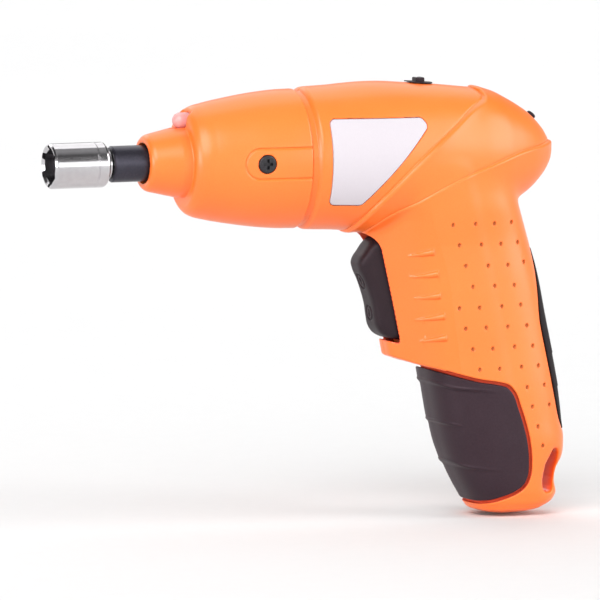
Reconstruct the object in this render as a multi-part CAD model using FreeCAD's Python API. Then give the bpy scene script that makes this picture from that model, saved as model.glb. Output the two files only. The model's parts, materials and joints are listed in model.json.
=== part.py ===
import FreeCAD, Part
import math
import os

os.makedirs("parts", exist_ok=True)
V = FreeCAD.Vector

# Frame: X runs from the nose to the back of the tool, Y to its right-hand side, Z up.
# The origin is the centre of the bit holder's front face, on the spindle axis. Millimetres.

# ---------------------------------------------------------------- driving dimensions
WALL = 2.2  # moulded shell wall
FLAT = 0.88  # width of the barrel over its height
SEAM_NOSE = 59.6  # back edge of the nose housing
SEAM_SHELL = 60.0  # front edge of the two shells
# barrel outline: distance along X, half height
BARREL = [
    (56.0, 21.4), (60.0, 21.7), (64.0, 22.0), (72.0, 22.35), (78.0, 22.8), (85.0, 23.05),
    (90.0, 22.9), (95.0, 22.5), (105.0, 21.7), (115.0, 20.6), (120.0, 20.0), (123.0, 19.3),
    (126.0, 18.3), (129.0, 16.8), (133.0, 14.6), (137.0, 11.9), (140.0, 9.1), (142.4, 6.1),
    (143.9, 3.2), (144.3, 1.6),
]
# handle: height, front line, back line, half width
GRIP = [
    (6.0, 91.5, 126.0, 13.5), (-5.0, 92.5, 129.0, 15.6), (-14.0, 93.6, 131.6, 16.6), (-25.0, 95.2, 135.0, 17.2),
    (-38.0, 97.3, 138.6, 17.3), (-50.0, 99.3, 141.0, 17.3), (-61.0, 101.4, 143.2, 17.2),
    (-71.0, 103.8, 145.0, 17.1), (-82.0, 106.3, 146.5, 16.8), (-89.5, 108.4, 147.5, 16.5),
    (-94.0, 110.2, 147.1, 16.0), (-98.0, 112.0, 146.2, 15.5), (-102.0, 114.1, 145.6, 14.9),
    (-106.0, 116.4, 145.0, 13.9), (-109.0, 118.3, 142.9, 12.4), (-110.9, 120.6, 139.4, 10.0), (-111.8, 124.6, 133.8, 6.2),
]
GRIP_POWER = 2.8  # squareness of the handle's section
# trigger housing: a leaning wedge in front of the handle
FRONT_X, FRONT_Z, LEAN = 83.2, -24.0, 0.197
FRONT_PLAN = [(0, -4.2), (13.0, -17.0), (32.0, -17.0), (38.0, -8.0), (38.0, 8.0), (32.0, 17.0), (13.0, 17.0), (0, 4.2)]
UNDER_X, UNDER_Z, UNDER_SLOPE = 90.3, -62.3, -0.30  # underside of the trigger housing
# nose housing: distance along X, half height
NOSE = [
    (23.5, 13.7), (23.9, 14.9), (24.7, 15.85), (26.4, 16.8), (30.2, 17.85), (38.0, 19.4),
    (46.0, 20.6), (54.0, 21.35), (59.6, 21.5),
]
CONE = [(10.8, 6.3), (10.8, 7.4), (11.05, 8.0), (11.6, 8.5), (12.4, 8.85), (20.6, 10.7), (25.0, 11.2)]  # nose tip
# drive
HEX_AF, HEX_DEPTH = 6.45, 13.0  # quarter-inch hex holder
HOLDER_R = 5.6
MODULE, SUN_T, PLANET_T, RING_T = 0.5, 9, 18, 45  # two like planetary stages, 6:1 each
PRESSURE = math.radians(25)
ADDENDUM, DEDENDUM, THIN = 0.8, 1.1, 0.09
CENTRE = MODULE * (SUN_T + PLANET_T) / 2
MOTOR_R = 12.2
# controls
PIVOT_X, PIVOT_Z = 94.0, -40.0
TRIGGER_HALF = 6.4
# pack
CELL_R, CELL_LEN = 6.95, 43.0
PACK_X, PACK_Z, PACK_TILT = 123.5, -66.5, 11.1
# joining screws through the two shells: X, Z
POSTS = [(112.0, 13.0), (117.0, -13.0), (98.5, -58.6), (129.5, -35.5), (131.5, -102.0)]
SEAT_Y = 9.0  # where the screw heads seat in the right shell
NOSE_SCREW_X = 45.2
JACK_X = 124.0


# ---------------------------------------------------------------- small helpers
def box(x0, x1, y0, y1, z0, z1):
    return Part.makeBox(x1 - x0, y1 - y0, z1 - z0, V(x0, y0, z0))


def cyl_x(r, x0, x1, y=0, z=0):
    return Part.makeCylinder(r, x1 - x0, V(x0, y, z), V(1, 0, 0))


def cyl_y(r, y0, y1, x, z):
    return Part.makeCylinder(r, y1 - y0, V(x, y0, z), V(0, 1, 0))


def cyl_z(r, z0, z1, x, y):
    return Part.makeCylinder(r, z1 - z0, V(x, y, z0), V(0, 0, 1))


def tube_x(r0, r1, x0, x1, y=0, z=0):
    return cyl_x(r1, x0, x1, y, z).cut(cyl_x(r0, x0 - 1, x1 + 1, y, z))


def join(shapes):
    out = shapes[0]
    if len(shapes) > 1:
        out = out.fuse(shapes[1:])
    return out.removeSplitter()


def solid_of(shape):
    """The largest solid of a shape."""
    return max(shape.Solids, key=lambda s: s.Volume)


def face_of(points):
    return Part.Face(Part.makePolygon(list(points) + [points[0]]))


def prism_x(yz, x0, x1):
    return face_of([V(x0, y, z) for y, z in yz]).extrude(V(x1 - x0, 0, 0))


def prism_y(xz, y0, y1):
    return face_of([V(x, y0, z) for x, z in xz]).extrude(V(0, y1 - y0, 0))


def hexagon(af, x0, x1, turn=0.0):
    r = af / math.sqrt(3)
    return prism_x([(r * math.cos(math.radians(60 * k + turn)), r * math.sin(math.radians(60 * k + turn))) for k in range(6)], x0, x1)


def rounded(points, radius):
    """A closed flat wire through 2-D points (x, z) with its corners rounded, at y = 0."""
    n = len(points)
    edges, ends = [], []
    for i in range(n):
        p, a, b = points[i], points[i - 1], points[(i + 1) % n]
        r = radius[i] if isinstance(radius, (list, tuple)) else radius
        ua, ub = (a[0] - p[0], a[1] - p[1]), (b[0] - p[0], b[1] - p[1])
        la, lb = math.hypot(*ua), math.hypot(*ub)
        ua, ub = (ua[0] / la, ua[1] / la), (ub[0] / lb, ub[1] / lb)
        angle = math.acos(max(-1, min(1, ua[0] * ub[0] + ua[1] * ub[1])))
        cut = min(r / math.tan(angle / 2), 0.48 * la, 0.48 * lb)
        r = cut * math.tan(angle / 2)
        mid = ((ua[0] + ub[0]), (ua[1] + ub[1]))
        lm = math.hypot(*mid)
        d = r / math.sin(angle / 2) - r
        m = (p[0] + mid[0] / lm * d, p[1] + mid[1] / lm * d)
        ends.append(((p[0] + ua[0] * cut, p[1] + ua[1] * cut), m, (p[0] + ub[0] * cut, p[1] + ub[1] * cut)))
    for i in range(n):
        s, m, e = (V(q[0], 0, q[1]) for q in ends[i])
        edges.append(Part.Arc(s, m, e).toShape())
        nxt = ends[(i + 1) % n][0]
        nxt = V(nxt[0], 0, nxt[1])
        if (nxt - e).Length > 1e-6:
            edges.append(Part.makeLine(e, nxt))
    return Part.Wire(edges)


def rounded_prism_y(points, radius, y0, y1):
    f = Part.Face(rounded(points, radius))
    f.translate(V(0, y0, 0))
    return f.extrude(V(0, y1 - y0, 0))


def inset(points, d):
    """A convex polygon with every side moved in by d."""
    n = len(points)
    area = sum(points[i][0] * points[(i + 1) % n][1] - points[(i + 1) % n][0] * points[i][1] for i in range(n))
    s = 1 if area > 0 else -1
    lines = []
    for i in range(n):
        (x0, y0), (x1, y1) = points[i], points[(i + 1) % n]
        l = math.hypot(x1 - x0, y1 - y0)
        nx, ny = -(y1 - y0) / l * s, (x1 - x0) / l * s
        lines.append((nx, ny, nx * x0 + ny * y0 + d))
    out = []
    for i in range(n):
        a, b = lines[i - 1], lines[i]
        det = a[0] * b[1] - a[1] * b[0]
        out.append(((a[2] * b[1] - a[1] * b[2]) / det, (a[0] * b[2] - a[2] * b[0]) / det))
    return out


def turned(profile, flat=1.0):
    """A body turned about the X axis from (x, r) points joined by a smooth curve."""
    curve = Part.BSplineCurve()
    curve.interpolate([V(x, 0, r) for x, r in profile])
    (x0, r0), (x1, r1) = profile[0], profile[-1]
    wire = Part.Wire([
        Part.makeLine(V(x0, 0, 0), V(x0, 0, r0)), curve.toShape(),
        Part.makeLine(V(x1, 0, r1), V(x1, 0, 0)), Part.makeLine(V(x1, 0, 0), V(x0, 0, 0)),
    ])
    body = Part.Face(wire).revolve(V(0, 0, 0), V(1, 0, 0), 360)
    if flat != 1.0:
        m = FreeCAD.Matrix()
        m.scale(V(1, flat, 1))
        body = body.transformGeometry(m)
    return Part.Solid(body) if body.ShapeType != "Solid" else body


def turned_poly(profile):
    """A body turned about the X axis from straight (x, r) lines."""
    pts = [V(x, 0, r) for x, r in profile]
    return face_of(pts).revolve(V(0, 0, 0), V(1, 0, 0), 360)


def offset_profile(profile, d):
    out = []
    for i, (x, r) in enumerate(profile):
        a, b = profile[max(i - 1, 0)], profile[min(i + 1, len(profile) - 1)]
        tx, tr = b[0] - a[0], b[1] - a[1]
        l = math.hypot(tx, tr)
        out.append((x - tr / l * d, max(r + tx / l * d, 0.3)))
    return out


def barrel(d):
    return turned(offset_profile(BARREL, d), FLAT)


def lerp_rows(rows, z):
    rows = sorted(rows)
    z = min(max(z, rows[0][0]), rows[-1][0])
    for a, b in zip(rows, rows[1:]):
        if a[0] <= z <= b[0]:
            t = (z - a[0]) / (b[0] - a[0])
            return [a[k] + (b[k] - a[k]) * t for k in range(1, len(a))]


def grip(d):
    """The handle, grown by d (shrunk if negative)."""
    wires = []
    for z, front, back, half in GRIP:
        zz = z
        if z < -95:
            zz = z - d * min(1.0, (-95 - z) / 12)
        f, b, h = front - d, back + d, half + d
        c, a = (f + b) / 2, (b - f) / 2
        if a < 1.5 or h < 1.0:
            continue
        pts = []
        for k in range(24):
            t = 2 * math.pi * k / 24
            ct, st = math.cos(t), math.sin(t)
            pts.append(V(c + a * math.copysign(abs(ct) ** (2 / GRIP_POWER), ct), h * math.copysign(abs(st) ** (2 / GRIP_POWER), st), zz))
        curve = Part.BSplineCurve()
        curve.interpolate(pts, PeriodicFlag=True)
        wires.append(Part.Wire(curve.toShape()))
    return Part.makeLoft(wires, True, False)


def front_block(d):
    """The trigger housing, grown by d."""
    plan = inset(FRONT_PLAN, -d)
    z0, z1 = -8.0, -78.0
    x0 = FRONT_X + LEAN * (FRONT_Z - z0)
    f = face_of([V(x0 + x, y, z0) for x, y in plan])
    body = f.extrude(V(LEAN * (z0 - z1), 0, z1 - z0))
    zu = UNDER_Z - d
    below = prism_y([(60, zu + UNDER_SLOPE * (60 - UNDER_X)), (150, zu + UNDER_SLOPE * (150 - UNDER_X)), (150, -130), (60, -130)], -40, 40)
    return body.cut(below)


def outer(d):
    return join([barrel(d), grip(d), front_block(d)])


# ---------------------------------------------------------------- shells
pack_turn = FreeCAD.Placement(V(PACK_X, 0, PACK_Z), FreeCAD.Rotation(V(0, 1, 0), -PACK_TILT))


def in_pack(shape):
    s = shape.copy()
    s.Placement = pack_turn.multiply(s.Placement)
    return s


LEFT = box(-60, 200, -60, 0, -200, 60)
MOTOR_HOLE = cyl_x(MOTOR_R + 0.05, 50, 100)
grip_in = grip(-WALL)
cavity = join([barrel(-WALL).fuse(cyl_x(16.5, 54, 64)), grip_in, front_block(-WALL)]).common(box(50, 200, -60, 1.0, -200, 60))
kept = []  # material that stays inside each shell
for x0 in (65.0, 78.5):
    kept.append(box(x0, x0 + 2.0, -25, 2, -21, 25).cut(MOTOR_HOLE).cut(box(x0 - 1, x0 + 3, -3.2, 3.2, 11, 26)))
for x, z in POSTS:
    kept.append(cyl_y(2.8, -6.5, 2, x, z))
    kept.append(cyl_y(4.4, -25, -6.5, x, z))
kept.append(cyl_y(3.2, -20, -6.95, PIVOT_X, PIVOT_Z))
kept.append(box(SEAM_SHELL, 66, -20, -13.9, -4.6, 4.6))
for x0, x1 in ((122.1, 123.4), (125.2, 126.5)):
    kept.append(box(x0, x1, -25, -9.6, -9, 10))
for t0, t1, xa, xb in ((22.35, 23.8, -11, 11), (-23.8, -22.35, -9, 8)):
    kept.append(in_pack(box(xa, xb, -20, -8.2, -max(t0, t1), -min(t0, t1))))
kept.append(box(94.4, 95.6, -6, 2, 12.2, 26).cut(box(94, 96, -2.4, 2.4, 12, 16.2)))
kept.append(box(107.4, 108.6, -6, 2, 12.2, 26))
kept.append(box(136.0, 152, -25, 2, -107.2, -92.2))
kept.append(box(119.0, 129.0, -4.6, 2, -113, -105.0))
cavity = cavity.cut(kept)

# rubber pads and strips lie in shallow recesses of the shells
PAD_OUT, PAD_IN = 0.4, -0.9
PAD = [
    (86.0, -63.2), (101.0, -67.2), (123.6, -71.4), (127.0, -73.6), (130.4, -83.4), (132.0, -90.0), (132.4, -95.0),
    (131.6, -99.3), (128.7, -102.4), (124.5, -105.0), (120.5, -107.0), (115.5, -107.6), (104.0, -105.0),
]
STRIP = [
    (135.4, -26.0), (137.6, -36.0), (138.6, -50.0), (141.0, -61.0), (143.0, -71.0), (144.8, -80.0), (147.2, -87.0),
    (156.0, -87.0), (156.0, -26.0),
]
under_pad, over_pad = grip(PAD_IN), grip(PAD_OUT)
pad = over_pad.common(rounded_prism_y(PAD, 1.5, -30, 0)).cut(under_pad)
strip = over_pad.common(prism_y(STRIP, -30, 0)).cut(under_pad)
pad_recess = rounded_prism_y(PAD, 1.5, -30, 1).cut(under_pad)
strip_recess = prism_y(STRIP, -30, 1).cut(under_pad)

# side badges lie flush in the barrel
BADGE = [(66.6, 13.2), (96.6, 12.8), (99.0, 10.6), (88.6, -1.0), (82.0, -8.0), (76.4, -13.4), (66.6, -12.9)]
under_badge = barrel(-0.8)
badge = barrel(0.05).common(rounded_prism_y(BADGE, 1.2, -40, -2)).cut(under_badge)
badge_recess = rounded_prism_y(inset(BADGE, -0.12), 1.3, -40, -2).cut(under_badge)

# one shell is the mirror of the other but for the screw holes
shell = outer(0).common(box(SEAM_SHELL, 200, -60, 0, -200, 60)).cut([
    cavity,
    prism_y([(74, -23.4), (97.5, -23.4), (97.5, -57.6), (92.5, -57.6), (86.0, -55.9), (74, -52.8)], -TRIGGER_HALF - 0.5, 1),
    cyl_y(1.27, -9.6, 1, PIVOT_X, PIVOT_Z),
    box(97.0, 103.1, -1.6, 1, 14, 30),
    cyl_z(3.35, -120, -104, JACK_X, 0),
    box(138.2, 142.6, -40, 1, -105.0, -94.0),
    Part.makeCylinder(1.55, 14, V(138.6, 0, 10.7) - V(0.68, 0, 0.733) * 8, V(0.68, 0, 0.733)),
    pad_recess, strip_recess, badge_recess,
])
shell = solid_of(shell).fuse(box(41.4, 60.6, -15.6, -13.9, -4.6, 4.6)).cut(cyl_y(1.32, -16, -13, NOSE_SCREW_X, 0))
shell = solid_of(shell)


def other_side(shape):
    return shape.mirror(V(0, 0, 0), V(0, 1, 0))


parts = {}
parts["left_shell"] = solid_of(shell.cut([cyl_y(1.32, -11, 1, x, z) for x, z in POSTS]))
holes = []
for x, z in POSTS:
    holes += [cyl_y(1.65, -1, 12, x, z), cyl_y(3.1, SEAT_Y, 40, x, z)]
parts["right_shell"] = solid_of(other_side(shell).cut(holes))
parts["left_grip_pad"] = solid_of(pad)
parts["right_grip_pad"] = other_side(parts["left_grip_pad"])
parts["left_back_strip"] = solid_of(strip)
parts["right_back_strip"] = other_side(parts["left_back_strip"])
parts["left_badge"] = solid_of(badge)
parts["right_badge"] = other_side(parts["left_badge"])


def cross(x, y, z, d, size, depth, way):
    """A cross recess cut along way from a point."""
    a = Part.makeBox(size, 0.9, depth * 2, V(-size / 2, -0.45, -depth))
    b = Part.makeBox(0.9, size, depth * 2, V(-0.45, -size / 2, -depth))
    c = a.fuse(b)
    c.Placement = FreeCAD.Placement(V(x, y, z), FreeCAD.Rotation(V(0, 0, 1), way))
    return c


def side_screw(x, z, y_seat, s, head_r, head_h, shank_r, length):
    """A pan-head screw along Y: head outside y_seat, shank inside, s is the side."""
    out = V(0, s, 0)
    head = Part.makeCylinder(head_r, head_h, V(x, y_seat, z), out)
    head = head.makeFillet(min(0.5, head_h * 0.45), [head.Edges[0]] if head.Edges[0].BoundBox.YMax * s > head.Edges[2].BoundBox.YMax * s else [head.Edges[2]])
    shank = Part.makeCylinder(shank_r, length, V(x, y_seat, z), V(0, -s, 0))
    body = head.fuse(shank).removeSplitter()
    return body.cut(cross(x, y_seat + s * head_h, z, 0, head_r * 1.1, 0.9, V(0, 1, 0)))


parts["shell_screws"] = Part.makeCompound([side_screw(x, z, SEAT_Y, 1, 2.8, 2.0, 1.3, 19.0) for x, z in POSTS])
parts["nose_screws"] = Part.makeCompound([side_screw(NOSE_SCREW_X, 0, s * 16.6, s, 2.85, 1.4, 1.3, 2.6) for s in (-1, 1)])

# ---------------------------------------------------------------- nose housing
nose = turned([(23.1, 12.0)] + NOSE + [(62.0, 21.5)], FLAT).common(box(NOSE[0][0], SEAM_NOSE, -40, 40, -40, 40))
nose = join([nose, turned_poly([(10.8, 0)] + CONE + [(25.0, 0)]).common(box(0, NOSE[0][0], -40, 40, -40, 40))])
LED_Z = 12.8
cuts = [
    cyl_x(6.3, 5, 13), cyl_x(7.52, 12.5, 25), cyl_x(8.7, 24.0, 34), cyl_x(12.9, 33.0, 37), cyl_x(13.25, 36.2, 53),
    cyl_x(16.4, 52.0, 70),
    cyl_x(3.05, 18.6, 24.9, 0, LED_Z), cyl_x(2.52, 20, 30, 0, LED_Z), cyl_x(2.98, 29.4, 36.2, 0, LED_Z),
]
for s in (-1, 1):
    y0, y1 = sorted((s * 13.8, s * 15.7))
    cuts.append(box(41.2, 70, y0, y1, -4.7, 4.7))
    cuts.append(cyl_y(1.6, min(s * 14, s * 30), max(s * 14, s * 30), NOSE_SCREW_X, 0))
    cuts.append(cyl_y(3.15, min(s * 16.6, s * 30), max(s * 16.6, s * 30), NOSE_SCREW_X, 0))
    cuts.append(cyl_x(0.7, 30, 53, s * 1.27, 14.7))
cuts.append(box(36.2, 53, -1.6, 1.6, -13.95, -12))  # keyway for the ring gear
SCREW_RING = [(15.0 * math.cos(math.radians(a)), 15.0 * math.sin(math.radians(a))) for a in (45, 135, 225, 315)]
for y, z in SCREW_RING:
    cuts.append(cyl_x(0.92, 45.5, 53, y, z))
parts["nose_housing"] = solid_of(nose.cut(cuts))


# ---------------------------------------------------------------- gears
def involute(x):
    return math.tan(x) - x


def flank(r, base, half_at_pitch):
    """Half the angle of a tooth at radius r."""
    return half_at_pitch + involute(PRESSURE) - (involute(math.acos(base / r)) if r > base else 0.0)


def gear_points(teeth, phase):
    """Outline of an outside gear, one tooth centred at phase."""
    rp = MODULE * teeth / 2
    base, tip, root = rp * math.cos(PRESSURE), rp + ADDENDUM * MODULE, rp - DEDENDUM * MODULE
    half = math.pi / (2 * teeth) - THIN / (2 * rp)
    radii = [max(base, root + 0.05) + (tip - max(base, root + 0.05)) * k / 3 for k in range(4)]
    pts = []
    for i in range(teeth):
        mid = phase + 2 * math.pi * i / teeth
        side = [(root, flank(radii[0], base, half))] + [(r, flank(r, base, half)) for r in radii]
        for r, a in side:
            pts.append((r * math.cos(mid - a), r * math.sin(mid - a)))
        for r, a in reversed(side):
            pts.append((r * math.cos(mid + a), r * math.sin(mid + a)))
    return pts


def ring_points(teeth, phase):
    """Outline of the space inside a ring gear, one tooth centred at phase."""
    rp = MODULE * teeth / 2
    base, tip, root = rp * math.cos(PRESSURE), rp - ADDENDUM * MODULE, rp + DEDENDUM * MODULE
    half = math.pi / (2 * teeth) + THIN / (2 * rp)
    radii = [tip + (root - tip) * k / 3 for k in range(4)]
    pts = []
    for i in range(teeth):
        mid = phase + 2 * math.pi * (i + 0.5) / teeth
        side = [(r, flank(r, base, half)) for r in radii]
        for r, a in side:
            pts.append((r * math.cos(mid - a), r * math.sin(mid - a)))
        for r, a in reversed(side):
            pts.append((r * math.cos(mid + a), r * math.sin(mid + a)))
    return pts


UP = math.pi / 2
SPOTS = [UP + 2 * math.pi * k / 3 for k in range(3)]  # planets sit at these angles


def spot(k):
    return CENTRE * math.cos(SPOTS[k]), CENTRE * math.sin(SPOTS[k])


def planet(k, x0, x1, bore):
    cy, cz = spot(k)
    phase = UP + math.radians(10)
    body = prism_x([(cy + a, cz + b) for a, b in gear_points(PLANET_T, phase)], x0, x1)
    return body.cut(cyl_x(bore, x0 - 1, x1 + 1, cy, cz))


OUT0, OUT1 = 36.4, 43.0  # output stage planets
IN0, IN1 = 46.0, 51.0  # first stage planets
for k, name in enumerate("abc"):
    parts["output_planet_" + name] = planet(k, OUT0, OUT1, 1.25)
    parts["first_planet_" + name] = planet(k, IN0, IN1, 1.05)
ring = cyl_x(13.2, 36.25, 51.8).cut(prism_x(ring_points(RING_T, UP), 30, 60))
parts["ring_gear"] = solid_of(ring.fuse(box(37, 51.8, -1.5, 1.5, -13.85, -12.6)).removeSplitter())

# output spindle: bit holder, thrust collar and planet flange in one piece
spindle = join([cyl_x(HOLDER_R, 0, 25), cyl_x(8.2, 24.6, 33.4), cyl_x(12.4, 33.2, 35.8)])
spindle = spindle.cut([hexagon(HEX_AF, -1, HEX_DEPTH), cyl_x(2.6, 12.5, 16.0)])
spindle = spindle.cut(turned_poly([(-0.1, 0), (-0.1, 4.35), (0.0, 4.25), (0.75, 3.35), (0.75, 0)]))
spindle = spindle.cut(turned_poly([(-1, 5.05), (0.0, 5.05), (0.55, 5.6), (0.55, 7), (-1, 7)]))
for k in range(3):
    spindle = spindle.cut(cyl_x(1.205, 32.9, 37, *spot(k)))
parts["spindle"] = solid_of(spindle)
parts["holder_magnet"] = cyl_x(2.55, 13.05, 16.0)
parts["output_planet_pins"] = Part.makeCompound([cyl_x(1.2, 33.3, 43.3, *spot(k)) for k in range(3)])
carrier = join([cyl_x(10.2, 43.6, 45.4), prism_x(gear_points(SUN_T, UP), 36.4, 44.0)])
for k in range(3):
    carrier = carrier.cut(cyl_x(1.005, 43, 46, *spot(k)))
parts["first_carrier"] = solid_of(carrier)
parts["first_planet_pins"] = Part.makeCompound([cyl_x(1.0, 43.65, 51.3, *spot(k)) for k in range(3)])
parts["spindle_bush"] = tube_x(HOLDER_R + 0.04, 7.5, 12.6, 24.0)
parts["thrust_washer"] = tube_x(5.75, 8.2, 24.05, 24.55)

# ---------------------------------------------------------------- motor
plate = cyl_x(16.2, 52.0, 54.0).cut([cyl_x(4.1, 51, 55), box(51, 55, -20, -13.6, -4.95, 4.95), box(51, 55, 13.6, 20, -4.95, 4.95), box(51, 55, -3, 3, 13.6, 20)])
for y, z in SCREW_RING:
    plate = plate.cut(cyl_x(1.1, 51, 55, y, z))
MOTOR_HOLES = [(0, 8.0), (0, -8.0)]
for y, z in MOTOR_HOLES:
    plate = plate.cut(cyl_x(1.3, 51, 55, y, z))
    plate = plate.cut(Part.makeCone(2.45, 1.3, 1.15, V(52.0, y, z), V(1, 0, 0)))
parts["gearbox_plate"] = solid_of(plate)
parts["gearbox_screws"] = Part.makeCompound([cyl_x(1.25, 54.0, 55.3, y, z).fuse(cyl_x(0.9, 46.0, 54.0, y, z)).removeSplitter() for y, z in SCREW_RING])
parts["motor_screws"] = Part.makeCompound([
    Part.makeCone(2.4, 1.25, 1.15, V(52.0, y, z), V(1, 0, 0)).fuse(cyl_x(1.25, 53.1, 56.5, y, z)).removeSplitter().cut(box(51, 52.5, y - 0.35, y + 0.35, z - 3, z + 3)) for y, z in MOTOR_HOLES
])
can = join([tube_x(MOTOR_R - 0.9, MOTOR_R, 54.0, 83.0), tube_x(3.0, MOTOR_R - 0.5, 54.0, 54.9), tube_x(3.0, 4.0, 52.7, 55.6)])
for y, z in MOTOR_HOLES:
    can = can.cut(cyl_x(1.28, 53, 57, y, z))
parts["motor_can"] = solid_of(can)
magnets = []
for s in (-1, 1):
    wedge = prism_x([(0, 0), (s * 20, 15), (s * 20, -15)], 50, 90)
    magnets.append(solid_of(tube_x(9.7, MOTOR_R - 0.92, 58, 78).common(wedge)))
parts["motor_magnets"] = Part.makeCompound(magnets)
cap = join([cyl_x(MOTOR_R - 0.02, 83.0, 85.4), cyl_x(4.2, 85, 87.6)]).cut([cyl_x(2.98, 82, 87.0), cyl_x(1.4, 82, 90)])
parts["motor_end_cap"] = solid_of(cap)
parts["motor_bushes"] = Part.makeCompound([tube_x(1.03, 2.98, 52.9, 55.5), tube_x(1.03, 2.96, 84.2, 86.9)])
parts["motor_brushes"] = Part.makeCompound([
    join([box(79.2, 81.4, -1.3, 1.3, *sorted((s * 3.05, s * 5.2))), box(79.2, 83.0, -1.3, 1.3, *sorted((s * 5.0, s * 5.6)))]) for s in (-1, 1)
])
parts["motor_shaft"] = cyl_x(1.0, 46.4, 86.9)
parts["motor_pinion"] = solid_of(prism_x(gear_points(SUN_T, UP), 46.2, 51.7).cut(cyl_x(1.004, 46, 52)))
core = cyl_x(9.3, 60.0, 75.0).cut(cyl_x(1.004, 59, 76))
coils = []
for k in range(5):
    slot = box(59, 76, -1.7, 1.7, 3.0, 8.2).fuse(box(59, 76, -0.8, 0.8, 8.0, 10))
    coil = box(57.9, 77.1, -1.6, 1.6, 3.15, 8.05)
    slot.rotate(V(0, 0, 0), V(1, 0, 0), 72 * k)
    coil.rotate(V(0, 0, 0), V(1, 0, 0), 72 * k)
    core = core.cut(slot)
    coils.append(coil)
parts["armature_core"] = solid_of(core)
parts["armature_windings"] = Part.makeCompound(coils)
parts["commutator"] = tube_x(1.004, 3.0, 78.3, 82.3)

# ---------------------------------------------------------------- trigger and motor switch
TRIGGER = [
    (85.2, -25.2), (83.9, -27.6), (82.3, -29.5), (81.0, -31.2), (80.4, -33.0), (80.9, -34.9), (82.6, -38.4), (84.0, -42.2),
    (85.0, -46.0), (85.5, -49.8), (86.2, -53.0), (87.6, -55.0), (91.5, -56.7),
    (95.0, -56.6), (98.0, -48.0), (98.0, -30.0), (93.5, -25.4),
]
trigger = prism_y(TRIGGER, -TRIGGER_HALF, TRIGGER_HALF)
for s in (-1, 1):
    # slanted front corners
    y0, y1 = s * TRIGGER_HALF, s * (TRIGGER_HALF - 2.4)
    tri = [V(60, s * 20, 0), V(60, y1, 0), V(79.0, y1, 0), V(87.0, y0, 0), V(87.0, s * 20, 0)]
    lean = 0.197 * 60
    tri = [p + V(FRONT_X - 83.0 + LEAN * (FRONT_Z + 10), 0, -10) for p in tri]
    trigger = trigger.cut(Part.Face(Part.makePolygon(tri + [tri[0]])).extrude(V(lean, 0, -60)))
trigger = trigger.cut([cyl_y(1.29, -20, 20, PIVOT_X, PIVOT_Z), box(96.2, 99, -8, 8, -38.9, -29)])
finger = join([box(97.0, 102.0, -1.8, 1.8, -40.8, -39.2), cyl_y(0.95, -1.8, 1.8, 102.0, -40.0)])
parts["trigger"] = solid_of(trigger.fuse(finger).removeSplitter())
parts["trigger_pin"] = cyl_y(1.25, -9.5, 9.5, PIVOT_X, PIVOT_Z)
SLIDE_Z = -36.0
slider = join([box(103.15, 106.85, -2.8, 2.8, -39.0, -33.0), box(100.3, 103.4, -2.6, 2.6, -42.2, -34.0)])
slider = slider.cut(box(99, 103.12, -5, 5, -41.0, -39.0))
parts["switch_slider"] = solid_of(slider)
switch = box(103.0, 114.0, -7.0, 7.0, -44.0, -28.0).cut([box(102, 107.0, -3.0, 3.0, -43.0, -29.0)])
parts["switch_body"] = solid_of(switch)


def coil_spring(x, z0, z1, r, wire, turns):
    """Round wire wound in turns, lofted through its sections, twelve to a turn."""
    low, h, n = z0 + wire + 0.03, z1 - z0 - 2 * wire - 0.06, 12 * turns
    sections = []
    for k in range(n + 1):
        a = math.pi * k / 6
        at = V(x + r * math.cos(a), r * math.sin(a), low + h * k / n)
        along = V(-r * math.sin(a), r * math.cos(a), h / (2 * math.pi * turns))
        sections.append(Part.Wire(Part.makeCircle(wire, at, along)))
    return solid_of(Part.makeLoft(sections, True, False))


parts["upper_return_spring"] = coil_spring(105.0, -33.0, -29.0, 1.3, 0.2, 4)
parts["lower_return_spring"] = coil_spring(105.0, -43.0, -39.0, 1.3, 0.2, 4)

# ---------------------------------------------------------------- pack
cells, straps = [], []
for x in (-7.0, 7.0):
    for y in (-7.0, 7.0):
        cells.append(in_pack(Part.makeCylinder(CELL_R, CELL_LEN, V(x, y, -CELL_LEN / 2))))
parts["battery_cells"] = Part.makeCompound(cells)
top, low = CELL_LEN / 2, -CELL_LEN / 2 - 0.3
for x0, x1, y0, y1, z in ((-9.5, 9.5, 1.0, 9.5, top), (-9.5, -4.5, -9.5, -1.0, top), (4.5, 9.5, -9.5, -1.0, top), (-9.5, -4.5, -9.5, 9.5, low), (4.5, 9.5, -9.5, 9.5, low)):
    straps.append(in_pack(box(x0, x1, y0, y1, z, z + 0.3)))
parts["battery_straps"] = Part.makeCompound(straps)


def lead(points, bend, r):
    """A round lead along straight runs with rounded bends."""
    pts = [V(*p) for p in points]
    edges, last = [], pts[0]
    for i in range(1, len(pts) - 1):
        p = pts[i]
        a, b = (pts[i - 1] - p), (pts[i + 1] - p)
        a.normalize()
        b.normalize()
        angle = math.acos(max(-1, min(1, a.dot(b))))
        cut = bend / math.tan(angle / 2)
        m = a + b
        m.normalize()
        d = bend / math.sin(angle / 2) - bend
        s, e = p + a * cut, p + b * cut
        edges += [Part.makeLine(last, s), Part.Arc(s, p + m * d, e).toShape()]
        last = e
    edges.append(Part.makeLine(last, pts[-1]))
    way = pts[1] - pts[0]
    section = Part.Wire(Part.makeCircle(r, pts[0], way))
    if len(pts) == 2:
        return Part.makeCylinder(r, way.Length, pts[0], way)
    return solid_of(Part.Wire(edges).makePipeShell([section], True, False))


def strap_z(x):
    """Top face of the straps at X."""
    c, s = math.cos(math.radians(PACK_TILT)), math.sin(math.radians(PACK_TILT))
    h = CELL_LEN / 2 + 0.3
    cx, cz = PACK_X - s * h, PACK_Z + c * h
    return cz + (x - cx) * math.tan(math.radians(PACK_TILT))


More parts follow.
